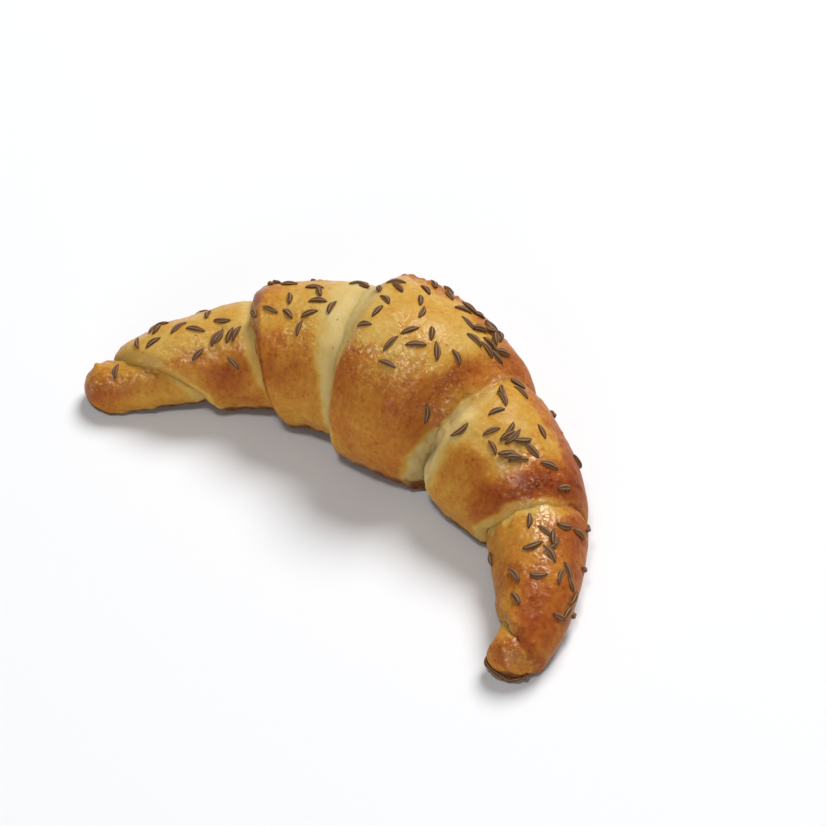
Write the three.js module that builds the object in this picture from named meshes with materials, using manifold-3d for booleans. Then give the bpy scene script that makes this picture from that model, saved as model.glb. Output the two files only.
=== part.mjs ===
// A crescent roll: a triangle of dough rolled up from its wide edge, bent into a crescent and baked
// on a flat sheet, with caraway seeds baked onto its crust. Millimetres, +Z up. +Y points to the
// outside of the bend and the two horns point towards -Y. The origin is the middle of the base.
import * as THREE from "three";
import { mergeVertices } from "three/addons/utils/BufferGeometryUtils.js";
import Module from "manifold-3d";

const wasm = await Module();
wasm.setup();
const { degToRad } = THREE.MathUtils;

// ---- Driving dimensions -----------------------------------------------------------------------

// The roll's centreline is an arc in plan. A station is a length along it: 0 in the middle of the
// bend, negative towards the left horn and positive towards the right one.
const BEND_RADIUS = 82;
const LEFT_TIP = -92.5;
const RIGHT_TIP = 94;
const TIP_ROUNDING = 5; // length over which a horn's blunt end closes

// An angle round the roll is in degrees: 0 is the outside of the bend, 90 the top, 180 the inside
// and 270 the base.
const RESTING_HEIGHT = 0.72; // height of the centreline over the base, as a share of the girth
const SIDE_SPREAD = 1.02; // width over height of the cross-section, before its base is cut flat

// Girth: the roll's radius at a station, smoothed over all its wraps.
const GIRTH = [
  [LEFT_TIP, 5.8], [-86, 6.8], [-78, 9.2], [-66, 12.2], [-54, 14.4], [-44, 17], [-34, 19.2],
  [-20, 22.6], [-6, 24.8], [6, 24.4], [18, 21.4], [30, 18.4], [42, 15.6], [52, 13.2], [62, 11.4],
  [74, 9.8], [84, 8], [RIGHT_TIP, 6.8],
];

// The centreline leaves the true arc a little: [station, distance outwards].
const BOW = [
  [LEFT_TIP, 0.6], [-84, -0.6], [-76, -1.6], [-62, -1.5], [-50, 0], [-38, 0.2], [-24, 0.9],
  [-10, 0.7], [8, 0.8], [20, 1.8], [32, 1.4], [46, 2.7], [54, 2.4], [62, 1], [70, -0.4],
  [82, -2.9], [RIGHT_TIP, -6.2],
];

// The wraps of dough from horn to horn. Each one lies over the next one towards its horn, so the
// centre wrap is outermost. profile is [station, radius] along a wrap, and dip is how far it
// presses the wrap below it in.
const WRAPS = [
  { name: "left tongue", dip: 0.5, profile: [[LEFT_TIP, 6.2], [-86, 7.2], [-76, 8.6], [-60, 10]] },
  {
    name: "left horn",
    dip: 0.6,
    profile: [[-86, 8.6], [-79, 10.6], [-70, 12.4], [-58, 13.7], [-46, 14.6], [-34, 15]],
  },
  {
    name: "left wrap",
    dip: 1.3,
    profile: [[-48, 17.6], [-42, 19], [-33, 19.6], [-25, 20.2], [-17, 20.6], [-10, 20.4]],
  },
  {
    name: "centre wrap",
    dip: 0,
    profile: [[-22, 23.8], [-14, 25], [-5, 25.3], [5, 24.8], [13, 23], [22, 20.8]],
  },
  {
    name: "right wrap",
    dip: 1.2,
    profile: [[14, 18], [22, 18.8], [30, 18.6], [38, 17.2], [46, 15.3], [56, 13.6]],
  },
  {
    name: "right horn",
    dip: 0.8,
    profile: [[46, 12.2], [54, 12.6], [62, 11.8], [72, 10.2], [82, 8.7], [RIGHT_TIP, 7.2]],
  },
  { name: "right tongue", dip: 0.4, profile: [[78, 7], [86, 6.9], [RIGHT_TIP, 6.6]] },
];
const OUTERMOST = WRAPS.findIndex((wrap) => wrap.name === "centre wrap");
const LIP_LENGTH = 4.5; // how much of a wrap's edge rounds over onto the wrap below it

// The seams between the wraps, from horn to horn, as [angle, station] round the roll.
const SEAMS = [
  [[-90, -66], [-40, -78], [20, -83], [85, -80.5], [115, -75], [150, -67.5], [185, -59.5], [225, -56]],
  [[-90, -39], [-40, -44], [20, -46.5], [70, -46.5], [105, -45], [140, -42.5], [165, -39], [225, -33.5]],
  [[-90, -17], [-40, -19], [20, -18.5], [70, -18], [105, -17.5], [140, -16], [175, -13.5], [225, -13]],
  [[-90, 23], [-40, 24], [20, 23.5], [60, 22.5], [100, 23], [140, 22.5], [175, 22], [225, 21]],
  [[-90, 51], [-40, 53], [20, 53.5], [60, 54], [95, 54], [130, 53], [150, 52], [175, 49.5], [225, 47.5]],
  [[-90, 89], [-40, 91.5], [20, 92], [75, 90.5], [95, 88], [120, 85], [145, 81], [180, 76], [225, 78]],
];

// A caraway seed: a thin, slightly bent spindle, a small gap off the crust it is baked onto.
const SEED_LENGTH = 5;
const SEED_THICKNESS = 1.3;
const SEED_BEND = 0.45;
const SEED_GAP = 0.3;
const SEED_BLUNTNESS = 0.7; // power of the sine that its thickness follows along it

// Where the seeds lie: [station, angle, heading]. A heading is in degrees on the crust, from
// straight along the roll (0) to straight round it (90).
const SEEDS = [
  // left horn
  [-84, 98, -65], [-77, 72, -85], [-73, 86, -15], [-66, 78, -30], [-61, 89, 30], [-56, 109, -50],
  [-52, 109, -60], [-61, 121, -35], [-50, 140, 55],
  // left wrap
  [-40, 95, 30], [-38, 60, 5], [-36, 84, 75], [-35, 100, 45], [-31, 114, -80], [-31, 70, 5],
  [-28, 88, 0], [-24, 95, -85], [-26, 20, 40],
  // centre wrap
  [-14, 78, 45], [-11, 68, -35], [-9, 87, 25], [-9, 98, -80], [-2, 76, 55], [1, 84, 70],
  [-10, 108, -20], [2, 99, -60], [0, 112, -80], [6, 104, -40], [7, 92, 50], [11, 98, 45],
  [15, 91, 15], [3, 122, -10], [0, 52, 30], [5, 58, -45], [9, 64, -5], [13, 70, -10],
  [13, 50, -20], [15, 60, -20],
  // right wrap
  [27, 58, -15], [28, 78, 10], [30, 90, -85], [30, 121, 90], [34, 102, -80], [38, 108, 10],
  [38, 90, 75], [42, 80, -20], [43, 96, -70], [38, 62, 5],
  // right horn
  [58, 101, 5], [61, 84, -50], [60, 60, 80], [65, 73, 40], [65, 99, 70], [71, 122, -40],
  [73, 90, 80], [70, 46, -40], [78, 116, -45], [81, 40, 75], [75, 20, 15],
];

// Fineness of the meshes.
const ROLL_SECTORS = 40;
const SEED_SECTORS = 6;
const SEED_RINGS = 7;
// Places of the rings across a wrap, as shares of its width, closer together at its edges.
const WRAP_SHARES = [0.02, 0.07, 0.15, 0.27, 0.4, 0.53, 0.66, 0.78, 0.87, 0.94, 0.98];
const TIP_SHARES = [0.006, 0.05, 0.15, 0.3, 0.5, 0.7, 0.86, 0.95];

// ---- Curves -----------------------------------------------------------------------------------

// A smooth curve through [x, y] points that never overshoots them.
function smooth(points) {
  const last = points.length - 1;
  const rise = (i) => (points[i + 1][1] - points[i][1]) / (points[i + 1][0] - points[i][0]);
  const slopes = points.map((_, i) => {
    if (i === 0 || i === last) return 0;
    const turns = rise(i - 1) * rise(i) <= 0;
    return turns ? 0 : (2 * rise(i - 1) * rise(i)) / (rise(i - 1) + rise(i));
  });
  return (x) => {
    if (x <= points[0][0]) return points[0][1];
    if (x >= points[last][0]) return points[last][1];
    const i = points.findIndex((_, k) => x < points[k + 1][0]);
    const [x0, y0] = points[i];
    const [x1, y1] = points[i + 1];
    const width = x1 - x0;
    const t = (x - x0) / width;
    const step = (3 - 2 * t) * t * t;
    const bend = t * (1 - t) * ((1 - t) * slopes[i] - t * slopes[i + 1]);
    return y0 + step * (y1 - y0) + bend * width;
  };
}

// The same for a seam, which closes on itself round the roll.
function smoothLoop(points) {
  return smooth([-360, 0, 360].flatMap((turn) => points.map(([x, y]) => [x + turn, y])));
}

const girth = smooth(GIRTH);
const bow = smooth(BOW);
const seams = SEAMS.map(smoothLoop);
const radii = WRAPS.map((wrap) => smooth(wrap.profile));

// ---- The crust's surface ----------------------------------------------------------------------

const lastWrap = WRAPS.length - 1;
const leftEdge = (wrap, angle) => (wrap === 0 ? LEFT_TIP : seams[wrap - 1](angle));
const rightEdge = (wrap, angle) => (wrap === lastWrap ? RIGHT_TIP : seams[wrap](angle));
const wrapAt = (station, angle) => seams.filter((seam) => station > seam(angle)).length;

// How open a horn's rounded end is at a station: 1 on the body, 0 at the tip.
function openness(station) {
  const toTip = Math.min(station - LEFT_TIP, RIGHT_TIP - station);
  const closed = 1 - Math.min(1, Math.max(0, toTip / TIP_ROUNDING));
  return Math.sqrt(1 - closed ** 2);
}

// The radius at the bottom of the crease on one side of a wrap: -1 for its left, 1 for its right.
function creaseRadius(wrap, side, angle) {
  const edge = side < 0 ? leftEdge(wrap, angle) : rightEdge(wrap, angle);
  const over = (wrap - OUTERMOST) * side >= 0;
  const [upper, lower] = over ? [wrap, wrap + side] : [wrap + side, wrap];
  return radii[lower](edge) - WRAPS[upper].dip;
}

// A wrap's radius: its edge over its neighbour rounds down into the crease, and its edge under
// its neighbour dips a little.
function wrapRadius(wrap, station, angle) {
  const full = radii[wrap](station);
  let radius = full;
  for (const side of [-1, 1]) {
    if (wrap + side < 0 || wrap + side > lastWrap) continue;
    const fromEdge = side < 0 ? station - leftEdge(wrap, angle) : rightEdge(wrap, angle) - station;
    const near = 1 - Math.min(1, Math.max(0, fromEdge / LIP_LENGTH));
    const over = (wrap - OUTERMOST) * side >= 0;
    const roundedDrop = (full - creaseRadius(wrap, side, angle)) * (1 - Math.sqrt(1 - near ** 2));
    radius -= over ? roundedDrop : WRAPS[wrap + side].dip * near ** 2;
  }
  return radius;
}

function crustPoint(station, angle, radius) {
  const turn = station / BEND_RADIUS;
  const reach = openness(station) * radius;
  const fromCentre = BEND_RADIUS + bow(station) + SIDE_SPREAD * reach * Math.cos(degToRad(angle));
  const height = RESTING_HEIGHT * girth(station) + reach * Math.sin(degToRad(angle));
  return new THREE.Vector3(fromCentre * Math.sin(turn), fromCentre * Math.cos(turn), height);
}

function crust(station, angle) {
  return crustPoint(station, angle, wrapRadius(wrapAt(station, angle), station, angle));
}

// ---- Meshes from rings ------------------------------------------------------------------------

// A closed surface over rings of points, with a point at each end.
function closedTube(rings, start, end) {
  const points = [start, ...rings.flat(), end];
  const finish = points.length - 1;
  const sectors = rings[0].length;
  const at = (ring, k) => 1 + ring * sectors + (k % sectors);
  const faces = [];
  for (let k = 0; k < sectors; k++) {
    faces.push(0, at(0, k + 1), at(0, k));
    for (let ring = 0; ring + 1 < rings.length; ring++) {
      faces.push(at(ring, k), at(ring, k + 1), at(ring + 1, k));
      faces.push(at(ring, k + 1), at(ring + 1, k + 1), at(ring + 1, k));
    }
    faces.push(finish, at(rings.length - 1, k), at(rings.length - 1, k + 1));
  }
  const geometry = new THREE.BufferGeometry().setFromPoints(points);
  geometry.setIndex(faces);
  return geometry;
}

function solidFrom(geometry) {
  const bare = geometry.clone();
  bare.deleteAttribute("normal");
  bare.deleteAttribute("uv");
  const merged = mergeVertices(bare);
  return new wasm.Manifold(new wasm.Mesh({
    numProp: 3,
    vertProperties: merged.attributes.position.array,
    triVerts: new Uint32Array(merged.index.array),
  }));
}

function geometryFrom(solid) {
  const mesh = solid.getMesh();
  const geometry = new THREE.BufferGeometry();
  geometry.setAttribute("position", new THREE.BufferAttribute(mesh.vertProperties, 3));
  geometry.setIndex(new THREE.BufferAttribute(mesh.triVerts, 1));
  geometry.computeVertexNormals();
  return geometry;
}

// ---- The roll ---------------------------------------------------------------------------------

// One wrap's rings, each a function from an angle to a point. The last lies in the crease at its
// right edge, where the wrap has a neighbour there.
function wrapRings(wrap) {
  let shares = WRAP_SHARES;
  if (wrap === 0) shares = TIP_SHARES;
  if (wrap === lastWrap) shares = TIP_SHARES.map((share) => 1 - share).reverse();
  const rings = shares.map((share) => (angle) => {
    const station = THREE.MathUtils.lerp(leftEdge(wrap, angle), rightEdge(wrap, angle), share);
    return crustPoint(station, angle, wrapRadius(wrap, station, angle));
  });
  const crease = (angle) => crustPoint(rightEdge(wrap, angle), angle, creaseRadius(wrap, 1, angle));
  return wrap === lastWrap ? rings : [...rings, crease];
}

// The baked dough, with everything below the baking sheet cut away.
function rollGeometry() {
  const angles = Array.from({ length: ROLL_SECTORS }, (_, k) => (360 * k) / ROLL_SECTORS);
  const rings = WRAPS.flatMap((_, wrap) => wrapRings(wrap)).map((ring) => angles.map(ring));
  const tube = closedTube(rings, crustPoint(LEFT_TIP, 0, 0), crustPoint(RIGHT_TIP, 0, 0));
  const span = 4 * BEND_RADIUS;
  const sheet = new THREE.BoxGeometry(span, span, BEND_RADIUS).translate(0, 0, -BEND_RADIUS / 2);
  return geometryFrom(solidFrom(tube).subtract(solidFrom(sheet)));
}

// ---- The seeds --------------------------------------------------------------------------------

// A seed along X, bent in the XY plane and resting on the plane z = 0.
function seedGeometry() {
  const middle = (share) => {
    const offset = SEED_BEND * (2 * share - 1) ** 2;
    return new THREE.Vector3((share - 0.5) * SEED_LENGTH, -offset, SEED_THICKNESS / 2);
  };
  const ring = (share) => {
    const radius = (SEED_THICKNESS / 2) * Math.sin(Math.PI * share) ** SEED_BLUNTNESS;
    return Array.from({ length: SEED_SECTORS }, (_, k) => {
      const turn = (2 * Math.PI * k) / SEED_SECTORS;
      const spoke = new THREE.Vector3(0, radius * Math.cos(turn), radius * Math.sin(turn));
      return spoke.add(middle(share));
    });
  };
  const rings = Array.from({ length: SEED_RINGS }, (_, i) => ring((i + 1) / (SEED_RINGS + 1)));
  return closedTube(rings, middle(0), middle(1));
}

// A seed's pose on the crust: X along the seed and Z straight out of the crust. The crust's slope
// is taken over about a seed's width each way.
function seedPose([station, angle, heading]) {
  const step = SEED_THICKNESS;
  const turn = THREE.MathUtils.radToDeg(step / girth(station));
  const along = crust(station + step, angle).sub(crust(station - step, angle)).normalize();
  const round = crust(station, angle + turn).sub(crust(station, angle - turn)).normalize();
  const out = new THREE.Vector3().crossVectors(round, along).normalize();
  const lengthwise = along.applyAxisAngle(out, -degToRad(heading));
  const across = new THREE.Vector3().crossVectors(out, lengthwise);
  const foot = crust(station, angle).addScaledVector(out, SEED_GAP);
  return new THREE.Matrix4().makeBasis(lengthwise, across, out).setPosition(foot);
}

// ---- The object -------------------------------------------------------------------------------

const crustMaterial = new THREE.MeshStandardMaterial({ color: 0xc98a3f, roughness: 0.4, metalness: 0 });
const seedMaterial = new THREE.MeshStandardMaterial({ color: 0x55402c, roughness: 0.6, metalness: 0 });

const roll = new THREE.Mesh(rollGeometry(), crustMaterial);
roll.name = "crescent_roll";

const seeds = SEEDS.map((place, i) => {
  const seed = new THREE.Mesh(seedGeometry().applyMatrix4(seedPose(place)), seedMaterial);
  seed.name = `caraway_seed_${String(i + 1).padStart(2, "0")}`;
  return seed;
});

const object = new THREE.Group();
object.add(roll, ...seeds);

// The origin moves from the bend's centre to the middle of the base.
const middle = new THREE.Box3().setFromObject(object).getCenter(new THREE.Vector3());
object.position.set(-middle.x, -middle.y, 0);

export default object;
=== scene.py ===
"""A caraway crescent roll: glossy egg-washed crust, stepped wraps of dough and ribbed caraway seeds.

The crust is a fine surface over the CAD roll, and every CAD seed is replaced by a ribbed one that
settles on it. Lengths are in millimetres until a mesh is made, and then in metres.
"""

import math

import bpy
import numpy as np
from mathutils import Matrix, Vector
from mathutils.bvhtree import BVHTree


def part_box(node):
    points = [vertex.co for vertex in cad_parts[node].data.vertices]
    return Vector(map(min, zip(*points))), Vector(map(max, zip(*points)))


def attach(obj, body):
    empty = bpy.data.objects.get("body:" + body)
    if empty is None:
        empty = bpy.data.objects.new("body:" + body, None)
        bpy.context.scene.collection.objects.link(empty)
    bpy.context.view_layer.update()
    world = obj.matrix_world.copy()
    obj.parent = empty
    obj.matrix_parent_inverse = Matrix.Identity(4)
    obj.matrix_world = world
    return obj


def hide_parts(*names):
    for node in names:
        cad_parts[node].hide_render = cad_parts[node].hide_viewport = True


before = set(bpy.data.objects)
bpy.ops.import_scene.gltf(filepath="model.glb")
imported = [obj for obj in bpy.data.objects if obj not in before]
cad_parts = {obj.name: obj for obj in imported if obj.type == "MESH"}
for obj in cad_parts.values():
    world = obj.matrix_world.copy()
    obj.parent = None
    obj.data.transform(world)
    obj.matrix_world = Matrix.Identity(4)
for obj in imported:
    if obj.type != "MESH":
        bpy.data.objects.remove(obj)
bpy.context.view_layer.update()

MM = 0.001
ROLL = "crescent_roll"

# ---- The roll's driving dimensions -------------------------------------------------------------
# Stations run along the centreline from 0 in the middle of the bend, negative towards the left
# horn. Angles go round the roll in degrees: 0 outside the bend, 90 top, 180 inside, 270 base.

BEND_RADIUS = 82
LEFT_TIP = -92.5
RIGHT_TIP = 94
TIP_ROUNDING = 5
RESTING_HEIGHT = 0.72
SIDE_SPREAD = 1.02
GIRTH = [
    (LEFT_TIP, 5.8), (-86, 6.8), (-78, 9.2), (-66, 12.2), (-54, 14.4), (-44, 17), (-34, 19.2),
    (-20, 22.6), (-6, 24.8), (6, 24.4), (18, 21.4), (30, 18.4), (42, 15.6), (52, 13.2), (62, 11.4),
    (74, 9.8), (84, 8), (RIGHT_TIP, 6.8),
]
BOW = [
    (LEFT_TIP, 0.6), (-84, -0.6), (-76, -1.6), (-62, -1.5), (-50, 0), (-38, 0.2), (-24, 0.9),
    (-10, 0.7), (8, 0.8), (20, 1.8), (32, 1.4), (46, 2.7), (54, 2.4), (62, 1), (70, -0.4),
    (82, -2.9), (RIGHT_TIP, -6.2),
]

# The wraps from horn to horn: (station, radius) along each one. The centre one is outermost.
WRAPS = [
    [(LEFT_TIP, 6.2), (-86, 7.2), (-76, 8.6), (-60, 10)],
    [(-86, 8.6), (-79, 10.6), (-70, 12.4), (-58, 13.7), (-46, 14.6), (-34, 15)],
    [(-48, 17.6), (-42, 19), (-33, 19.6), (-25, 20.2), (-17, 20.6), (-10, 20.4)],
    [(-22, 23.8), (-14, 25), (-5, 25.3), (5, 24.8), (13, 23), (22, 20.8)],
    [(14, 18), (22, 18.8), (30, 18.6), (38, 17.2), (46, 15.3), (56, 13.6)],
    [(46, 12.2), (54, 12.6), (62, 11.8), (72, 10.2), (82, 8.7), (RIGHT_TIP, 7.2)],
    [(78, 7), (86, 6.9), (RIGHT_TIP, 6.6)],
]
TONGUE, LEFT_HORN, LEFT_WRAP, CENTRE, RIGHT_WRAP, RIGHT_HORN, FLAP = range(7)

# The seams, from horn to horn: how each of these changes with the angle round the roll.
#   path    the station that the seam runs through
#   lip     how long the upper wrap's edge is
#   crisp   whether that edge ends in a soft slope (0) or a rounded nose (1)
#   tuck    how far the nose hangs over
#   groove  how far the lower wrap is pressed in, and how dark and wide the painted shade in its fold is
#   upper, lower  how far the stretched dough reaches over each wrap
#   fade    how pale the stretched dough is
#   toast   how much browner the very edge of the upper wrap is
#   torn    how rough the stretched dough is
# On the side that the photograph shows, the paths were worked out from it by a separate program
# and rounded. On the far side they are guesses.
SEAMS = [
    dict(
        path=[
            (-90, -66), (-40, -78), (20, -83), (85, -80.5),
            (115, -75), (150, -67.5), (185, -59.5), (225, -56),
        ],
        lip=[(60, 4), (120, 3.5), (200, 3)],
        crisp=[(60, 0.9), (130, 0.6), (200, 0.9)],
        tuck=[(60, 0.5), (130, 0.3), (200, 0.6)],
        groove=[(60, 0.8), (130, 1.3), (200, 0.8)],
        upper=[(60, 1.5), (120, 3.5), (200, 3)],
        lower=[(60, 1), (110, 1.5), (160, 4), (200, 6)],
        fade=[(60, 0.3), (120, 0.25), (160, 0.5), (200, 0.6)],
        toast=[(60, 0.06), (200, 0.06)],
        torn=[(60, 0.2), (200, 0.2)],
    ),
    dict(
        path=[
            (-90, -39), (-40, -44), (20, -46.5), (70, -46.5),
            (105, -45), (140, -42.5), (165, -39), (225, -33.5),
        ],
        lip=[(60, 3), (200, 2.4)],
        crisp=[(60, 1), (200, 1)],
        tuck=[(60, 0.7), (130, 0.5), (200, 0.8)],
        groove=[(60, 0.8), (200, 0.9)],
        upper=[(60, 0.3), (200, 0.3)],
        lower=[(60, 3.5), (130, 4), (200, 2.5)],
        fade=[(60, 0.6), (130, 0.6), (200, 0.5)],
        toast=[(60, 0.22), (200, 0.16)],
        torn=[(60, 0.25), (200, 0.25)],
    ),
    dict(
        path=[
            (-90, -17), (-40, -19), (20, -18.5), (70, -18),
            (105, -17.5), (140, -16), (175, -13.5), (225, -13),
        ],
        lip=[(0, 4), (70, 7), (115, 7), (150, 4.5), (200, 3.5)],
        crisp=[(0, 0.9), (60, 0.2), (110, 0.15), (150, 0.6), (200, 0.9)],
        tuck=[(0, 0.5), (60, 0), (130, 0), (170, 0.4), (200, 0.5)],
        groove=[(0, 1), (60, 0.4), (110, 0.7), (160, 1.4), (200, 1.4)],
        upper=[(0, 2), (60, 4), (110, 3.5), (200, 3)],
        lower=[(0, 4), (60, 8.5), (100, 9), (125, 8), (150, 5), (200, 3.5)],
        fade=[(0, 0.6), (60, 0.8), (200, 0.9)],
        toast=[(60, 0.02), (120, 0.04), (200, 0)],
        torn=[(60, 0.3), (200, 0.3)],
    ),
    dict(
        path=[
            (-90, 23), (-40, 24), (20, 23.5), (60, 22.5),
            (100, 23), (140, 22.5), (175, 22), (225, 21),
        ],
        lip=[(0, 5), (60, 8), (130, 9.5), (200, 6)],
        crisp=[(0, 0.8), (60, 0.1), (120, 0.05), (150, 0.5), (200, 0.9)],
        tuck=[(0, 0.4), (60, 0), (140, 0), (170, 0.5), (200, 0.5)],
        groove=[(0, 1), (60, 1.3), (100, 2.2), (125, 2.8), (150, 3.4), (175, 3.6), (200, 3.4)],
        upper=[(0, 1.5), (90, 1), (130, 1.2), (155, 2.5), (180, 4.5), (210, 5)],
        lower=[(0, 2), (60, 3), (105, 7), (125, 10), (160, 9), (200, 8.5)],
        fade=[(0, 0.4), (60, 0.12), (94, 0.25), (108, 0.7), (130, 0.9), (200, 0.95)],
        toast=[(60, 0.06), (130, 0.08), (180, 0)],
        torn=[(0, 0.4), (80, 0.6), (110, 1.6), (140, 1.7), (200, 1.2)],
    ),
    dict(
        path=[
            (-90, 51), (-40, 53), (20, 53.5), (60, 54), (95, 54),
            (130, 53), (150, 52), (175, 49.5), (225, 47.5),
        ],
        lip=[(0, 4), (60, 4.5), (130, 5), (200, 4)],
        crisp=[(0, 0.9), (90, 0.6), (150, 0.8), (200, 1)],
        tuck=[(0, 0.4), (90, 0.1), (150, 0.4), (180, 0.8)],
        groove=[(0, 0.8), (90, 0.9), (160, 1.4), (200, 1.2)],
        upper=[(0, 1), (50, 1.2), (80, 1.5), (150, 1.8), (200, 1.8)],
        lower=[(0, 2), (60, 3), (120, 3), (200, 2.5)],
        fade=[(0, 0.3), (50, 0.3), (80, 0.5), (130, 0.6), (160, 0.7), (200, 0.5)],
        toast=[(60, 0.02), (120, 0), (200, 0)],
        torn=[(60, 0.4), (200, 0.5)],
    ),
    dict(
        path=[
            (-90, 89), (-40, 91.5), (20, 92), (75, 90.5), (95, 88),
            (120, 85), (145, 81), (180, 76), (225, 78),
        ],
        lip=[(60, 2.5), (200, 3)],
        crisp=[(60, 0.5), (110, 0.7), (200, 0.9)],
        tuck=[(60, 0), (130, 0.4), (200, 0.5)],
        groove=[(60, 0.4), (110, 1.2), (150, 1.4), (200, 0.8)],
        upper=[(60, 0.5), (120, 1.2), (200, 1)],
        lower=[(60, 0.5), (120, 2), (200, 4)],
        fade=[(60, 0.2), (100, 0.3), (130, 0.5), (200, 0.5)],
        toast=[(60, 0.12), (200, 0.12)],
        torn=[(60, 0.3), (200, 0.5)],
    ),
]

# How brown the crust is, from 0 for cream to 1 for dark brown: each wrap's top, from horn to horn,
# and what is added on its side inside the bend and on its side outside the bend.
TOP_BAKE = [0.43, 0.36, 0.37, 0.35, 0.4, 0.48, 0.5]
INNER_BAKE = [0.02, 0.14, 0.16, 0.24, 0.11, 0.06, 0.06]
OUTER_BAKE = [0.1, 0.16, 0.16, 0.34, 0.26, 0.18, 0.12]

BAKED_THROUGH = 0.72  # past this it browns at half the rate

# Where the oven caught it besides: (station, angle, length, width in degrees, amount).
HOT_SPOTS = [
    (-91, 135, 7, 60, 0.32), (-80, 150, 8, 18, 0.08),
    (-52, 154, 7, 22, 0.38), (-46, 186, 7, 14, 0.14), (-58, 118, 6, 12, 0.1),
    (-44, 100, 3, 40, 0.06), (-66, 120, 6, 14, 0.06),
    (-41, 66, 5, 22, 0.16), (-36, 138, 6, 22, 0.1), (-30, 150, 6, 16, 0.06),
    (-10, 140, 5, 14, 0.12), (3, 138, 9, 10, 0.06), (12, 134, 6, 14, 0.05), (14, 148, 6, 16, 0.06),
    (17.5, 108, 3.2, 18, 0.3), (18.5, 84, 3.2, 18, 0.36), (19, 60, 4, 14, 0.2),
    (50.2, 100, 3.3, 36, 0.58), (93, 130, 5, 30, 0.2), (49.4, 64, 4.4, 30, 0.4),
    (47, 150, 4.4, 18, 0.24), (45, 34, 8, 22, 0.2),
    (40, 132, 7, 12, 0.12), (26, 76, 3, 10, 0.08),
    (78, 94, 7, 20, 0.36), (82, 66, 8, 22, 0.34), (70, 124, 7, 16, 0.1),
    (62, 58, 7, 22, 0.2), (72, 152, 8, 16, 0.06), (60, 30, 10, 22, 0.12),
    (88, 84, 5, 24, 0.26), (64, 74, 5, 14, 0.08),
]

# Where the egg wash sparkles on the side of each wrap inside the bend, in degrees.
GLITTER_ANGLE = [116, 114, 112, 116, 98, 92, 100]

# Small blebs on the far shoulder of the centre wrap: (station, angle, radius).
KNOBS = [
    (-10.8, 47, 1.5), (-8.6, 45, 1.3), (-6.4, 47.5, 1.7), (-4.4, 45, 1.4), (-2.2, 47, 1.3),
    (-7.4, 53, 1.1), (-13, 45, 1.1), (0.5, 45.5, 1),
]

# Where the egg wash also sparkles a little on the side outside the bend, in degrees.
OUTER_GLITTER_ANGLE = 60

PRESSED_LENGTH = 5.5  # how far from a seam the lower wrap is pressed in
SHEET_RADIUS = 18  # a middling radius of the roll, which turns degrees into mm on the flat sheet
BLISTERS = 1300

# Fineness of the crust's mesh: rings in each wrap and vertices round the roll.
WRAP_RINGS = [50, 68, 76, 88, 76, 84, 26]
RIM_COLUMNS = 186
BASE_COLUMNS = 26
BASE_START, BASE_END = 232, 308  # the angles between which the roll sits on its base


# ---- Curves and noise --------------------------------------------------------------------------

def smooth(points):
    """A smooth curve through (x, y) points that never overshoots them."""
    x, y = np.array(points, float).T
    rise = np.diff(y) / np.diff(x)
    slopes = np.zeros(len(x))
    for i in range(1, len(x) - 1):
        if rise[i - 1] * rise[i] > 0:
            slopes[i] = 2 * rise[i - 1] * rise[i] / (rise[i - 1] + rise[i])

    def curve(q):
        q = np.clip(q, x[0], x[-1])
        i = np.clip(np.searchsorted(x, q, side="right") - 1, 0, len(x) - 2)
        width = x[i + 1] - x[i]
        t = (q - x[i]) / width
        bend = t * (1 - t) * ((1 - t) * slopes[i] - t * slopes[i + 1])
        return y[i] + (3 - 2 * t) * t * t * (y[i + 1] - y[i]) + bend * width

    return curve


def smooth_loop(points):
    """The same for a value that closes on itself round the roll."""
    return smooth([(angle + turn, value) for turn in (-360, 0, 360) for angle, value in points])


def value_noise(points, size, seed):
    """Smooth noise from -1 to 1 at (n, 3) points, with lumps of that size."""
    q = points / size + 37.3 * seed
    cell = np.floor(q).astype(np.int64)
    t = q - cell
    t = t * t * (3 - 2 * t)
    total = np.zeros(len(points))
    for corner in range(8):
        offset = np.array([corner & 1, corner >> 1 & 1, corner >> 2 & 1])
        weight = np.prod(np.where(offset, t, 1 - t), axis=1)
        x, y, z = (cell + offset).T
        key = (x * 73856093) ^ (y * 19349663) ^ (z * 83492791) ^ (seed * 2654435761)
        key = (key ^ (key >> 13)) * 1274126177 & 0xFFFFFFFF
        total += weight * ((key >> 8 & 0xFFFF) / 32767.5 - 1)
    return total


def layered_noise(points, size, seed, layers=3):
    """Value noise with finer and fainter layers on it, from -1 to 1."""
    total = sum(value_noise(points, size / 2**k, seed + k) / 2**k for k in range(layers))
    return total / sum(1 / 2**k for k in range(layers))


def soft_step(low, high, x):
    """0 below low, 1 above high, and smooth between them."""
    t = np.clip((x - low) / (high - low), 0, 1)
    return t * t * (3 - 2 * t)


girth = smooth(GIRTH)
bow = smooth(BOW)
radii = [smooth(wrap) for wrap in WRAPS]
seams = [{name: smooth_loop(points) for name, points in seam.items()} for seam in SEAMS]


# ---- The crust's surface -----------------------------------------------------------------------

def wrap_edge(wrap, side, angle):
    """The station of a wrap's left (-1) or right (1) edge at an angle."""
    seam = wrap - 1 if side < 0 else wrap
    if seam < 0:
        return np.full_like(angle, LEFT_TIP)
    if seam >= len(seams):
        return np.full_like(angle, RIGHT_TIP)
    radians = np.radians(angle)
    waver = 0.35 * np.sin(5 * radians + 2 * seam) + 0.2 * np.sin(11 * radians + 5 * seam)
    return seams[seam]["path"](angle) + waver


def openness(station):
    """The share of its radius that the roll has near its ends, which are rounded."""
    closed = 1 - np.clip(np.minimum(station - LEFT_TIP, RIGHT_TIP - station) / TIP_ROUNDING, 0, 1)
    return np.sqrt(np.clip(1 - closed**2, 0, 1))


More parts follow.
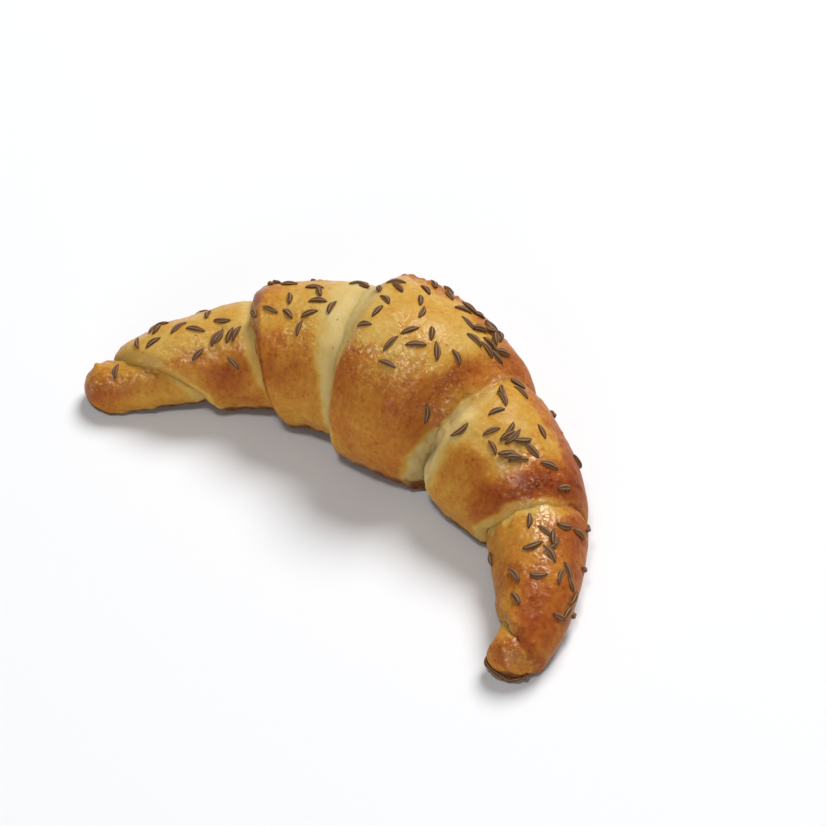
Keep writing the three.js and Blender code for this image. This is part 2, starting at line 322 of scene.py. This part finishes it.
def wrap_surface(wrap, share, angle):
    """The station and radius of one wrap at a share of its width, with its lips and grooves."""
    edges = {side: wrap_edge(wrap, side, angle) for side in (-1, 1)}
    station = edges[-1] + share * (edges[1] - edges[-1])
    radius = radii[wrap](station)
    shift = np.zeros_like(station)
    for side in (-1, 1):
        seam = wrap - 1 if side < 0 else wrap
        if not 0 <= seam < len(seams):
            continue
        look = {name: curve(angle) for name, curve in seams[seam].items()}
        from_edge = np.abs(station - edges[side])
        if (wrap - CENTRE) * side >= 0:
            near = 1 - np.clip(from_edge / look["lip"], 0, 1)
            drop = radius - radii[wrap + side](edges[side]) + look["groove"]
            nose = 1 - np.sqrt(1 - near**2)
            slope = near * near * (3 - 2 * near)
            fallen = slope + look["crisp"] * (nose - slope)
            radius = radius - drop * fallen
            shift += side * look["tuck"] * np.sin(math.pi * fallen)
        else:
            near = 1 - np.clip(from_edge / PRESSED_LENGTH, 0, 1)
            slope = near * near * (3 - 2 * near)
            radius = radius - look["groove"] * (slope + look["crisp"] * (near**2.5 - slope))
    return station + shift, radius


def place(station, angle, radius):
    """Points of the crust in millimetres, with the centre of the bend as the origin."""
    turn = station / BEND_RADIUS
    reach = openness(station) * radius
    radians = np.radians(angle)
    from_centre = BEND_RADIUS + bow(station) + SIDE_SPREAD * reach * np.cos(radians)
    height = RESTING_HEIGHT * girth(station) + reach * np.sin(radians)
    return np.stack([from_centre * np.sin(turn), from_centre * np.cos(turn), height], axis=-1)


def ring_shares(wrap):
    """Shares of a wrap's width for its rings, closer together at its edges."""
    count = WRAP_RINGS[wrap]
    even = (np.arange(count) + 0.5) / count
    shares = even - 0.11 * np.sin(4 * math.pi * even) / (1.4 * math.pi)
    if wrap == TONGUE:
        shares = even**1.25
    if wrap == FLAP:
        shares = 1 - (1 - even)**1.25
    return shares


def columns():
    """The angles round the roll, with fewer under the base."""
    rim = np.linspace(BASE_END - 360, BASE_START, RIM_COLUMNS, endpoint=False)
    base = np.linspace(BASE_START, BASE_END, BASE_COLUMNS, endpoint=False)
    return np.concatenate([rim, base])


def crust_grid():
    """Per-vertex arrays over the grid: points, station, angle and wrap."""
    angle = columns()
    rings = []
    for wrap in range(len(WRAPS)):
        for share in ring_shares(wrap):
            station, radius = wrap_surface(wrap, share, angle)
            rings.append((place(station, angle, radius), station, wrap))
    points = np.array([ring[0] for ring in rings])
    station = np.array([ring[1] for ring in rings])
    wrap = np.array([np.full(len(angle), ring[2]) for ring in rings])
    return points, station, np.broadcast_to(angle, station.shape), wrap


def grid_normals(points):
    """Outward directions of length 1 over the grid."""
    along = np.gradient(points, axis=0)
    wrapped = np.concatenate([points[:, -1:], points, points[:, :1]], axis=1)
    around = (wrapped[:, 2:] - wrapped[:, :-2]) / 2
    normal = np.cross(around, along)
    return normal / np.maximum(np.linalg.norm(normal, axis=-1, keepdims=True), 1e-9)


# ---- What baking did to it ---------------------------------------------------------------------

def stretched(station, angle, wrap):
    """Beside the seams: how pale the stretched dough is, how rough in mm, and how dark the painted shade
    in the creases is.
    """
    pale = np.zeros_like(station)
    rough = np.zeros_like(station)
    crease_shade = np.zeros_like(station)
    for seam, curves in enumerate(seams):
        distance = np.abs(station - wrap_edge(seam, 1, angle))
        for on_wrap, over in ((seam, seam >= CENTRE), (seam + 1, seam < CENTRE)):
            reach = curves["upper" if over else "lower"](angle)
            near = (wrap == on_wrap) * (1 - soft_step(0.5 * reach, 1.25 * reach, distance))
            pale = np.maximum(pale, near * curves["fade"](angle))
            rough = np.maximum(rough, near * curves["torn"](angle))
        # Painted shade for the creases: darker and wider where the groove is deeper.
        painted_shade_strength = 0.2 + 0.2 * curves["groove"](angle)
        crease_shade = np.maximum(crease_shade, painted_shade_strength * (1 - soft_step(0, 1.5 + curves["groove"](angle), distance)))
    return pale, rough, np.clip(crease_shade, 0, 1)


def edge_toast(station, angle, wrap):
    """How much browner the crust is on the free edges of the wraps, which stand up to the heat."""
    toast = np.zeros_like(station)
    for seam, curves in enumerate(seams):
        free = wrap == (seam if seam >= CENTRE else seam + 1)
        distance = np.abs(station - wrap_edge(seam, 1, angle))
        toast += free * curves["toast"](angle) * (1 - soft_step(0.8, 2.6, distance))
    return toast


def browning(points, station, angle, wrap, pale):
    """How far the crust is baked, from 0 for cream to 1 for dark brown."""
    flat = points.reshape(-1, 3)
    cloud = layered_noise(flat, 14, seed=3, layers=4).reshape(station.shape)
    fine = layered_noise(flat, 4, seed=9, layers=3).reshape(station.shape)
    inner = soft_step(107, 132, angle + 8 * fine) * np.array(INNER_BAKE)[wrap]
    outer = (1 - soft_step(44, 64, angle + 12 * fine)) * np.array(OUTER_BAKE)[wrap]
    bake = np.array(TOP_BAKE)[wrap] + inner + outer
    for at, round_to, length, width, strength in HOT_SPOTS:
        turn = (angle - round_to + 180) % 360 - 180
        reach = ((station - at + 3 * cloud) / length) ** 2 + ((turn + 12 * fine) / width) ** 2
        bake = bake + strength * np.exp(-reach)
    bake = bake + 0.09 * cloud + 0.07 * fine
    bake = bake * (1 - 0.85 * pale) + edge_toast(station + 0.5 * fine, angle, wrap)
    return bake - 0.5 * np.clip(bake - BAKED_THROUGH, 0, None)


def scatter_blisters(points, normals, bake, count, seed):
    """Small raised bubbles: a height in mm for each point, thickest where the crust is browned."""
    rng = np.random.default_rng(seed)
    flat = points.reshape(-1, 3)
    weight = np.clip(bake.reshape(-1) - 0.15, 0, 1) * soft_step(0.1, 0.8, normals.reshape(-1, 3)[:, 2])
    weight /= weight.sum()
    height = np.zeros(len(flat))
    for centre in rng.choice(len(flat), count, p=weight):
        size = rng.uniform(0.5, 1.5)
        near = np.nonzero(np.abs(flat - flat[centre]).max(axis=1) < size)[0]
        away = np.linalg.norm(flat[near] - flat[centre], axis=1) / size
        height[near] += rng.uniform(0.05, 0.2) * size * np.clip(1 - away**2, 0, 1) ** 2
    return height.reshape(points.shape[:2])


def raise_knobs(points):
    """A cluster of small blebs where the dough bubbled through, as heights in mm."""
    flat = points.reshape(-1, 3)
    height = np.zeros(len(flat))
    for station, angle, size in KNOBS:
        centre = place(np.array(station), np.array(angle), radii[CENTRE](station))
        away = np.linalg.norm(flat - centre, axis=1) / size
        height += 0.5 * size * np.clip(1 - away**2, 0, 1)
    return height.reshape(points.shape[:2])


def crust_relief(points, angle, normals, sheet, bake, rough, glitter):
    """How far each point stands off the smooth crust, in mm."""
    flat = points.reshape(-1, 3)
    lumps = 0.55 * layered_noise(flat, 17, seed=21, layers=2)
    lumps += 0.18 * layered_noise(flat, 5, seed=31, layers=2)
    ripple = 0.06 * layered_noise(flat, 1.6, seed=41, layers=2)
    relief = (lumps + ripple).reshape(bake.shape)
    torn = layered_noise(sheet.reshape(-1, 3) * [1, 0.4, 1], 2.2, seed=51, layers=3).reshape(bake.shape)
    relief += rough * torn
    crackle = np.abs(layered_noise(flat, 1.5, seed=81, layers=2)).reshape(bake.shape)
    relief += 0.28 * glitter * (crackle - 0.3)
    foot = layered_noise(sheet.reshape(-1, 3), 3, seed=91, layers=3).reshape(bake.shape)
    relief += 0.7 * soft_step(104, 118, np.abs(angle - 90)) * foot
    return relief + scatter_blisters(points, normals, bake, BLISTERS, 7) + raise_knobs(points)


def settle_on_base(height, softness=1.1):
    """Rounds the lowest edge over onto the plane z = 0."""
    settled = 0.5 * (height + np.sqrt(height**2 + softness**2))
    return settled - settled.min()


# ---- Meshes ------------------------------------------------------------------------------------

def grid_faces(rows, sectors):
    """Quads over rings of vertices that close round, with a fan at each end."""
    ring, k = np.meshgrid(np.arange(rows - 1), np.arange(sectors), indexing="ij")
    after = (k + 1) % sectors
    here, there = ring * sectors, (ring + 1) * sectors
    quads = np.stack([here + k, here + after, there + after, there + k], axis=-1).reshape(-1, 4)
    start, finish = rows * sectors, rows * sectors + 1
    last = (rows - 1) * sectors
    fans = [(start, (i + 1) % sectors, i) for i in range(sectors)]
    fans += [(finish, last + i, last + (i + 1) % sectors) for i in range(sectors)]
    return [tuple(quad) for quad in quads.tolist()] + fans


def make_mesh(name, points, faces, attributes, material):
    """A smooth-shaded object from points in metres, with named per-vertex values."""
    mesh = bpy.data.meshes.new(name)
    mesh.from_pydata(points.tolist(), [], faces)
    for key, values in attributes.items():
        values = np.asarray(values, np.float32)
        kind, field = ("FLOAT", "value") if values.ndim == 1 else ("FLOAT_VECTOR", "vector")
        mesh.attributes.new(key, kind, "POINT").data.foreach_set(field, values.reshape(-1))
    mesh.shade_smooth()
    mesh.materials.append(material)
    thing = bpy.data.objects.new(name, mesh)
    bpy.context.scene.collection.objects.link(thing)
    return thing


def unwrap_grid(thing, rows, sectors):
    """Lays the crust out flat: along the roll by across, cut open along the base."""
    layer = thing.data.uv_layers.new(name="OFBake")
    total = rows * sectors
    coordinates = np.empty((len(thing.data.loops), 2), np.float32)
    for face in thing.data.polygons:
        vertices = [v for v in face.vertices if v < total]
        wraps_round = max(v % sectors for v in vertices) - min(v % sectors for v in vertices) > 1
        middle = sum(v % sectors for v in vertices) / len(vertices)
        for loop, v in zip(face.loop_indices, face.vertices):
            row, sector = divmod(v, sectors)
            if v >= total:
                row, sector = (-1 if v == total else rows), middle
            if wraps_round and sector == 0:
                sector = sectors
            coordinates[loop] = ((row + 2) / (rows + 3), (sector + 1) / (sectors + 2))
    layer.data.foreach_set("uv", coordinates.reshape(-1))


# ---- Materials ---------------------------------------------------------------------------------

def srgb(red, green, blue):
    """A colour given as 0 to 255 on a screen, as Blender's linear values."""
    linear = [((c / 255 + 0.055) / 1.055) ** 2.4 for c in (red, green, blue)]
    return (*linear, 1)


class Nodes:
    """A short way to write a material's nodes."""

    def __init__(self, name):
        self.material = bpy.data.materials.new(name)
        self.material.use_nodes = True
        self.tree = self.material.node_tree
        self.shader = self.tree.nodes["Principled BSDF"]

    def add(self, kind, inputs=None, **settings):
        node = self.tree.nodes.new(kind)
        for key, value in settings.items():
            setattr(node, key, value)
        for key, value in (inputs or {}).items():
            self.feed(node.inputs[key], value)
        return node

    def feed(self, socket, value):
        if isinstance(value, bpy.types.NodeSocket):
            self.tree.links.new(value, socket)
        else:
            socket.default_value = value

    def attribute(self, name):
        return self.add("ShaderNodeAttribute", attribute_name=name).outputs["Fac"]

    def noise(self, size, detail=3, roughness=0.55, warp=0):
        """Noise from 0 to 1 with lumps of a size in millimetres."""
        inputs = {"Vector": self.position(), "Scale": 1 / (size * MM), "Detail": detail}
        inputs.update({"Roughness": roughness, "Distortion": warp})
        return self.add("ShaderNodeTexNoise", inputs).outputs["Fac"]

    def cells(self, size, feature="F1"):
        inputs = {"Vector": self.position(), "Scale": 1 / (size * MM)}
        return self.add("ShaderNodeTexVoronoi", inputs, feature=feature)

    def streaks(self, width, length):
        """Noise drawn out round the roll, as dough is stretched when it is rolled up."""
        sheet = self.add("ShaderNodeAttribute", attribute_name="sheet").outputs["Vector"]
        scale = (1 / (width * MM), 1 / (length * MM), 1)
        drawn = self.add("ShaderNodeMapping", {"Vector": sheet, "Scale": scale}).outputs["Vector"]
        inputs = {"Vector": drawn, "Scale": 1, "Detail": 4, "Roughness": 0.6, "Distortion": 0.4}
        return self.add("ShaderNodeTexNoise", inputs).outputs["Fac"]

    def dots(self, size, edge, core):
        """Round dots in cells of a size, from 0 outside to 1 inside, and a random value for each."""
        cells = self.cells(size)
        chance = self.add("ShaderNodeSeparateColor", {"Color": cells.outputs["Color"]}).outputs["Red"]
        return self.remap(cells.outputs["Distance"], edge, core), chance

    def sway(self, value, noise, amount):
        """A value moved up and down by noise, by up to half an amount each way."""
        return self.math("MULTIPLY_ADD", self.math("SUBTRACT", noise, 0.5), amount, value)

    def position(self):
        return self.add("ShaderNodeTexCoord").outputs["Object"]

    def math(self, operation, a, b=0.0, c=0.0, clamp=False):
        inputs = {0: a, 1: b, 2: c}
        return self.add("ShaderNodeMath", inputs, operation=operation, use_clamp=clamp).outputs[0]

    def remap(self, value, low, high, to_low=0.0, to_high=1.0):
        inputs = {"Value": value, "From Min": low, "From Max": high, "To Min": to_low, "To Max": to_high}
        return self.add("ShaderNodeMapRange", inputs, interpolation_type="SMOOTHSTEP").outputs["Result"]

    def ramp(self, value, stops):
        node = self.add("ShaderNodeValToRGB", {"Fac": value})
        elements = node.color_ramp.elements
        while len(elements) < len(stops):
            elements.new(0.5)
        for element, (position, colour) in zip(elements, stops):
            element.position = position
            element.color = colour
        return node.outputs["Color"]

    def mix(self, share, a, b, blend="MIX"):
        node = self.add("ShaderNodeMix", data_type="RGBA", blend_type=blend)
        for socket, value in ((node.inputs[0], share), (node.inputs[6], a), (node.inputs[7], b)):
            self.feed(socket, value)
        return node.outputs[2]

    def bump(self, height, distance, normal=None, strength=1.0):
        inputs = {"Height": height, "Distance": distance * MM, "Strength": strength}
        if normal:
            inputs["Normal"] = normal
        return self.add("ShaderNodeBump", inputs).outputs["Normal"]


def crust_material():
    """Egg-washed crust: a browning ramp, pale stretched dough, blisters and fine grain, with painted shade
    in the creases and painted glints where the egg wash sparkles.
    """
    n = Nodes("crust")
    bake, pale, glitter, rim = (n.attribute(name) for name in ("bake", "pale", "glitter", "rim"))
    crease_shade = n.attribute("crease_shade")
    clouds = n.noise(5, 4, 0.6, 0.3)
    mottle = n.noise(1.3, 4, 0.65)
    grain = n.noise(0.42, 3, 0.6)
    streaks = n.streaks(1.4, 6)
    bubble, chance = n.dots(1.5, 0.5, 0.12)
    bubble = n.math("MULTIPLY", bubble, n.remap(chance, 0.55, 0.75))
    browned = n.remap(bake, 0.3, 0.6)

    level = n.sway(bake, clouds, 0.3)
    level = n.sway(level, mottle, 0.34)
    level = n.sway(level, grain, 0.1)
    level = n.sway(level, streaks, 0.17)
    level = n.math("MULTIPLY_ADD", n.math("MULTIPLY", bubble, browned), 0.07, level)
    crust = n.ramp(level, [
        (0.00, srgb(208, 188, 136)), (0.15, srgb(208, 180, 112)), (0.30, srgb(206, 166, 84)),
        (0.45, srgb(200, 146, 58)), (0.60, srgb(184, 116, 45)), (0.75, srgb(163, 87, 36)),
        (0.90, srgb(138, 64, 28)), (1.00, srgb(108, 46, 20)),
    ])
    # Painted glints: cream flecks in the colour where the egg wash sparkles, standing in for highlights.
    painted_glints = n.math("MULTIPLY", n.remap(n.noise(0.9, 2, 0.5, 0.6), 0.56, 0.65), glitter)
    crust = n.mix(n.math("MULTIPLY", painted_glints, 0.6), crust, srgb(242, 208, 146))
    smudges = n.math("MULTIPLY", n.remap(n.noise(2.4, 4, 0.7, 1.2), 0.54, 0.72), n.remap(pale, 0.5, 0))
    crust = n.mix(n.math("MULTIPLY", smudges, 0.5), crust, srgb(168, 92, 40))
    dot, chance = n.dots(3.4, 0.12, 0.06)
    dot = n.math("MULTIPLY", dot, n.remap(chance, 0.78, 0.8))
    crust = n.mix(n.math("MULTIPLY", dot, 0.45), crust, srgb(104, 52, 24))
    # Painted shade: the colour is darkened to a cool grey in the creases between the wraps.
    crust = n.mix(crease_shade, crust, (0.66, 0.64, 0.7, 1), "MULTIPLY")
    crust = n.mix(rim, crust, n.ramp(mottle, [(0.3, srgb(84, 48, 24)), (0.7, srgb(138, 86, 42))]))
    n.feed(n.shader.inputs["Base Color"], crust)

    gloss = n.math("MULTIPLY_ADD", mottle, 0.3, 0.2)
    gloss = n.math("MULTIPLY_ADD", pale, 0.16, gloss)
    gloss = n.math("MULTIPLY_ADD", rim, 0.3, gloss, clamp=True)
    n.feed(n.shader.inputs["Roughness"], gloss)
    n.feed(n.shader.inputs["Specular IOR Level"], 0.04)
    n.feed(n.shader.inputs["Coat Weight"], n.math("MULTIPLY_ADD", glitter, 0.96, 0.04))
    n.feed(n.shader.inputs["Coat Roughness"], 0.08)
    n.feed(n.shader.inputs["Subsurface Weight"], 0.08)
    n.feed(n.shader.inputs["Subsurface Radius"], (1.0, 0.5, 0.2))
    n.feed(n.shader.inputs["Subsurface Scale"], 0.002)

    normal = n.bump(n.noise(1.1, 2, 0.5), 0.42, strength=n.math("MULTIPLY_ADD", glitter, 0.9, 0.1))
    normal = n.bump(bubble, 0.12, normal, n.math("MULTIPLY_ADD", browned, 0.7, 0.3))
    normal = n.bump(streaks, 0.14, normal)
    normal = n.bump(grain, 0.045, normal)
    n.feed(n.shader.inputs["Normal"], normal)
    n.feed(n.shader.inputs["Coat Normal"], normal)
    return n.material


def seed_material():
    """Dry caraway: dark furrows between paler ribs."""
    n = Nodes("caraway")
    dust = n.noise(0.35, 3, 0.6)
    level = n.math("MULTIPLY_ADD", n.math("SUBTRACT", dust, 0.5), 0.5, n.attribute("rib"))
    colour = n.ramp(level, [
        (0.0, srgb(88, 58, 35)), (0.35, srgb(120, 84, 52)), (0.75, srgb(152, 114, 74)),
        (1.0, srgb(168, 130, 92)),
    ])
    n.feed(n.shader.inputs["Base Color"], colour)
    n.feed(n.shader.inputs["Roughness"], n.math("MULTIPLY_ADD", dust, 0.3, 0.5))
    n.feed(n.shader.inputs["Specular IOR Level"], 0.3)
    n.feed(n.shader.inputs["Normal"], n.bump(n.noise(0.18, 2), 0.02))
    return n.material


def floor_material():
    """A matt, nearly white floor."""
    n = Nodes("floor")
    n.feed(n.shader.inputs["Base Color"], (0.86, 0.87, 0.885, 1))
    n.feed(n.shader.inputs["Roughness"], 0.9)
    n.feed(n.shader.inputs["Specular IOR Level"], 0.1)
    return n.material


# ---- The roll ----------------------------------------------------------------------------------

def glitter_share(points, station, angle, wrap, bake):
    """Where the egg wash dried into a rough, sparkling skin: on the shoulders that face up. It also sets
    where painted glints go in the crust's colour.
    """
    flat = points.reshape(-1, 3)
    patches = layered_noise(flat, 8, seed=61, layers=3).reshape(station.shape)
    inner = np.exp(-(((angle - np.array(GLITTER_ANGLE)[wrap]) / 18) ** 2))
    outer = 0.25 * np.exp(-(((angle - OUTER_GLITTER_ANGLE) / 22) ** 2))
    baked = soft_step(0.2, 0.4, bake) * (1 - 0.6 * soft_step(0.62, 0.78, bake))
    return np.clip((inner + outer) * soft_step(-0.5, 0.1, patches) * baked, 0, 1)


def shift_onto_cad(vertices):
    """The move across the floor that centres the crust on the CAD roll."""
    low, high = (np.array(corner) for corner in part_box(ROLL))
    centre = (vertices.min(axis=0) + vertices.max(axis=0)) / 2
    return np.array([(low[0] + high[0]) / 2 - centre[0], (low[1] + high[1]) / 2 - centre[1], 0])


def make_roll():
    """The crust as one object, and how far it was moved from the centre of the bend, in metres."""
    points, station, angle, wrap = crust_grid()
    normals = grid_normals(points)
    sheet = np.stack([station, np.radians(angle) * SHEET_RADIUS, np.zeros_like(station)], axis=-1)
    waver = layered_noise(points.reshape(-1, 3), 4, seed=9).reshape(station.shape)
    pale, rough, crease_shade = stretched(station + 1.5 * waver, angle, wrap)
    bake = browning(points, station, angle, wrap, pale)
    glitter = glitter_share(points, station, angle, wrap, bake)
    relief = crust_relief(points, angle, normals, sheet, bake, rough, glitter)
    relief *= soft_step(0, 3, np.minimum(station - LEFT_TIP, RIGHT_TIP - station))
    points = points + normals * relief[..., None]
    points[..., 2] = settle_on_base(points[..., 2])

    rows, sectors = station.shape
    ends = np.stack([points[0].mean(axis=0), points[-1].mean(axis=0)])
    ragged = layered_noise(points.reshape(-1, 3), 4, seed=71).reshape(station.shape)
    rim = soft_step(111, 122, np.abs(angle - 90) + 9 * ragged)
    values = {"bake": bake, "pale": pale, "rim": rim, "glitter": glitter, "crease_shade": crease_shade}
    attributes = {key: np.append(v.reshape(-1), [v[0].mean(), v[-1].mean()]) for key, v in values.items()}
    attributes["sheet"] = np.concatenate([sheet.reshape(-1, 3), sheet[[0, -1]].mean(axis=1)]) * MM

    vertices = np.concatenate([points.reshape(-1, 3), ends]) * MM
    shift = shift_onto_cad(vertices)
    roll = make_mesh("crust", vertices + shift, grid_faces(rows, sectors), attributes, crust_material())
    unwrap_grid(roll, rows, sectors)
    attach(roll, "root")
    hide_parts(ROLL)
    return roll, shift


# ---- The seeds ---------------------------------------------------------------------------------

SEED_RINGS = 26
SEED_SECTORS = 30
SEED_RIBS = 5
SEED_SINK = 0.12
SEED_PROBES = 7  # places along a seed where the crust under it is felt for
PROBE_REACH = 12 * MM
DEEPEST_PROBE = 3 * MM  # past this the crust has turned away from under the seed
SEED_DRAWS = 11  # starts the random sizes of the seeds

# Seeds besides the CAD's: (station, angle, heading, lift off the crust where one lies on others).
# Most of their places were worked out from the photograph by a separate program and rounded. The
# last row, on the side that it doesn't show, is guessed.
EXTRA_SEEDS = [
    (-72, 55, -60, 0), (-71, 64, -55, 0.2), (-70, 50, 20, 0), (-54, 89, 20, 0), (-58, 69, -75, 0),
    (-54.5, 109, -55, 0.4), (-50, 109, -66, 0.2),
    (-43, 54, 70, 0), (-42, 50, 60, 0), (-45.5, 96, 50, 0.3), (-29, 78, 60, 0.3), (-29, 101, -25, 0),
    (-22, 55, -40, 0), (-20, 60, 30, 0.3),
    (-9, 74, 30, 0.3), (-4, 63, 28, 0), (-5, 49, 45, 0), (-2, 46, 30, 0.2), (5, 51, -5, 0.4),
    (7, 47, -70, 0), (11, 60, -60, 0.4), (11, 48, -15, 0), (12, 51, -72, 0.4), (14, 54, 40, 0.5),
    (16, 66, -14, 0), (17, 53, -71, 0.2), (18, 60, -30, 0), (10, 42, -20, 0), (13, 43, 40, 0.3),
    (20.5, 133, 50, 0),
    (26, 76, 25, 0.3), (24.5, 55, -15, 0.2), (36, 88, 60, 0.2), (41, 103, -70, 0.6),
    (37, 94, 84, 0.4), (39.5, 86, -70, 0.3), (42, 99, -65, 0.7),
    (46, 70, -66, 0), (51, 59, 82, 0), (42, 19, -76, 0), (30, 20, 40, 0),
    (60, 36, -82, 0), (57, 15, 37, 0), (63, 76, 0, 0.45), (67, 77, -38, 0), (72, 59, 10, 0),
    (72.5, 38, -52, 0), (79, 30, 18, 0.3), (60, 171, -8, 0), (76, -8, 44, 0), (66, 8, 60, 0),
    (91.5, 196, 20, 0.2), (93, 225, 80, 0.3), (93.2, 248, 80, 0.3), (93.2, 268, 80, 0.4),
    (93, 290, 70, 0.3), (92.5, 312, 60, 0.2), (92, 240, 30, 0.8),
    (0, 24, 35, 0), (-12, 32, -40, 0), (-60, 30, 15, 0), (8, 14, 70, 0), (-34, 36, 80, 0),
]


def seed_outline(rng):
    """A seed's own points in mm, along X and bent in the XY plane, and how much each is on a rib."""
    length = rng.uniform(4.3, 5.6)
    width = rng.uniform(1.5, 1.85)
    bend = rng.uniform(0.15, 0.6)
    share = (np.arange(SEED_RINGS) + 0.5) / SEED_RINGS
    turn = 2 * math.pi * np.arange(SEED_SECTORS) / SEED_SECTORS
    share, turn = np.meshgrid(share, turn, indexing="ij")
    taper = np.sin(math.pi * share ** rng.uniform(0.88, 1.12)) ** 0.62
    rib = np.clip(np.cos(SEED_RIBS * turn + rng.uniform(0, 6)), 0, 1) ** 1.6
    radius = 0.5 * width * taper * (0.86 + 0.2 * rib)
    x = (share - 0.5) * length
    y = radius * np.cos(turn) - bend * (2 * share - 1) ** 2
    z = 0.85 * radius * np.sin(turn)
    tips = [(-length / 2 - 0.12, -bend, 0), (length / 2 + 0.12, -bend, 0)]
    rib = np.append((rib * soft_step(0.2, 0.7, taper)).reshape(-1), [0.1, 0.1])
    return np.concatenate([np.stack([x, y, z], axis=-1).reshape(-1, 3), tips]), rib


def crust_height(tree, foot, out):
    """How far the crust is from a point on its tangent plane, measured outwards."""
    hit = tree.ray_cast(foot + out * PROBE_REACH, -out, 3 * PROBE_REACH)
    return PROBE_REACH - hit[3] if hit[0] else None


def make_seed(name, tree, at, lengthwise, side, lift, material, rng):
    """A seed lying on the crust at a point, along a direction, bent to follow what is under it."""
    foot, out, _, _ = tree.find_nearest(at)
    lengthwise = (lengthwise - out * lengthwise.dot(out)).normalized()
    across = out.cross(lengthwise) * side
    outline, rib = seed_outline(rng)
    span = np.linspace(outline[:, 0].min(), outline[:, 0].max(), SEED_PROBES)
    heights = [crust_height(tree, foot + lengthwise * x * MM, out) for x in span]
    pairs = [(x, h / MM) for x, h in zip(span, heights) if h is not None and abs(h) < DEEPEST_PROBE]
    rest = np.polyfit([x for x, _ in pairs], [h for _, h in pairs], 2) if len(pairs) > 4 else [0, 0, 0]
    rest[0] = min(rest[0], 0)
    outline[:, 2] += np.polyval(rest, outline[:, 0]) - 0.5 * outline[:, 2].min() - SEED_SINK + lift
    axes = np.array([lengthwise, across, out])
    faces = grid_faces(SEED_RINGS, SEED_SECTORS)
    if side > 0:
        faces = [face[::-1] for face in faces]
    points = np.array(foot) + outline * MM @ axes
    points[:, 2] -= min(points[:, 2].min(), 0)  # none goes through the floor
    seed = make_mesh(name, points, faces, {"rib": rib}, material)
    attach(seed, "root")
    return seed


def cad_seed_pose(node):
    """A CAD seed's middle, its direction, and the direction that its back faces."""
    points = np.array([vertex.co for vertex in node.data.vertices])
    middle = points.mean(axis=0)
    lengthwise = np.linalg.svd(points - middle, full_matrices=False)[2][0]
    along = (points - middle) @ lengthwise
    tips = (points[along.argmin()] + points[along.argmax()]) / 2
    return Vector(middle), Vector(lengthwise), Vector(middle - tips)


def make_seeds(roll, shift):
    """Every seed: one for each of the CAD's, in its place, and then the others."""
    tree = BVHTree.FromPolygons(
        [v.co for v in roll.data.vertices], [face.vertices for face in roll.data.polygons])
    material = seed_material()
    rng = np.random.default_rng(SEED_DRAWS)
    names = sorted(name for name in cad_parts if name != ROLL)
    for name in names:
        middle, lengthwise, back = cad_seed_pose(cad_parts[name])
        out = tree.find_nearest(middle)[1]
        side = 1 if out.cross(lengthwise).dot(back) > 0 else -1
        seed = make_seed("seed_" + name[-2:], tree, middle, lengthwise, side, 0, material, rng)
        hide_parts(name)
    for number, (station, angle, heading, lift) in enumerate(EXTRA_SEEDS, len(names) + 1):
        wrap = sum(station > float(seam["path"](angle)) for seam in seams)
        steps = [(station, angle), (station + 0.5, angle), (station, angle + 2)]
        here, along, round_to = (
            Vector(place(np.array(s), np.array(a), radii[wrap](s)) * MM + shift) for s, a in steps)
        along, round_to = (along - here).normalized(), (round_to - here).normalized()
        turn = math.radians(heading)
        lengthwise = along * math.cos(turn) + round_to * math.sin(turn)
        side = 1 if rng.random() < 0.5 else -1
        make_seed(f"seed_{number:03d}", tree, here, lengthwise, side, lift, material, rng)


# ---- The stage ---------------------------------------------------------------------------------

CAMERA_AZIMUTH = 37.7
CAMERA_ELEVATION = 48
CAMERA_DISTANCE = 0.62
CAMERA_LENS = 100.2
CAMERA_TARGET = Vector((-3.5, 87.1, 0))  # on the floor, in mm from the centre of the bend


def make_camera(shift):
    """The photograph's view. Gives back the point it looks at and which way is away across the floor."""
    azimuth, elevation = math.radians(CAMERA_AZIMUTH), math.radians(CAMERA_ELEVATION)
    away = Vector((-math.sin(azimuth), math.cos(azimuth), 0))
    backwards = Vector((-away.x * math.cos(elevation), -away.y * math.cos(elevation), math.sin(elevation)))
    target = CAMERA_TARGET * MM + Vector(shift)
    target.z = 0
    camera = bpy.data.objects.new("camera", bpy.data.cameras.new("camera"))
    camera.data.lens = CAMERA_LENS
    camera.location = target + backwards * CAMERA_DISTANCE
    camera.rotation_euler = (-backwards).to_track_quat("-Z", "Y").to_euler()
    bpy.context.scene.collection.objects.link(camera)
    bpy.context.scene.camera = camera
    return target, away


def add_softbox(name, target, offset, size, power):
    """A round lamp at an offset from the target, turned to face it."""
    light = bpy.data.lights.new(name, "AREA")
    light.shape = "DISK"
    light.size = size
    light.energy = power
    lamp = bpy.data.objects.new(name, light)
    lamp.location = target + offset
    lamp.rotation_euler = offset.to_track_quat("Z", "Y").to_euler()
    bpy.context.scene.collection.objects.link(lamp)


def make_stage(target, away):
    """Three lamps, a dim white sky and a white floor."""
    right = Vector((away.y, -away.x, 0))
    up = Vector((0, 0, 1))
    add_softbox("overhead", target, 1.8 * up - 0.25 * right - 0.65 * away, 0.3, 9)
    add_softbox("key", target, 0.8 * right + 1.2 * away + 2.0 * up, 1.2, 60)
    add_softbox("fill", target, 0.4 * up - 0.5 * right - 1.95 * away, 1.2, 10)
    world = bpy.data.worlds.new("studio")
    world.use_nodes = True
    world.node_tree.nodes["Background"].inputs["Color"].default_value = (1, 1, 1, 1)
    world.node_tree.nodes["Background"].inputs["Strength"].default_value = 0.12
    bpy.context.scene.world = world
    corners = np.array([(-1, -1, 0), (1, -1, 0), (1, 1, 0), (-1, 1, 0)]) * 3.0
    floor = make_mesh("floor", corners, [(0, 1, 2, 3)], {}, floor_material())
    bpy.context.scene.view_settings.view_transform = "Standard"


roll, shift = make_roll()
make_seeds(roll, shift)
target, away = make_camera(shift)
make_stage(target, away)
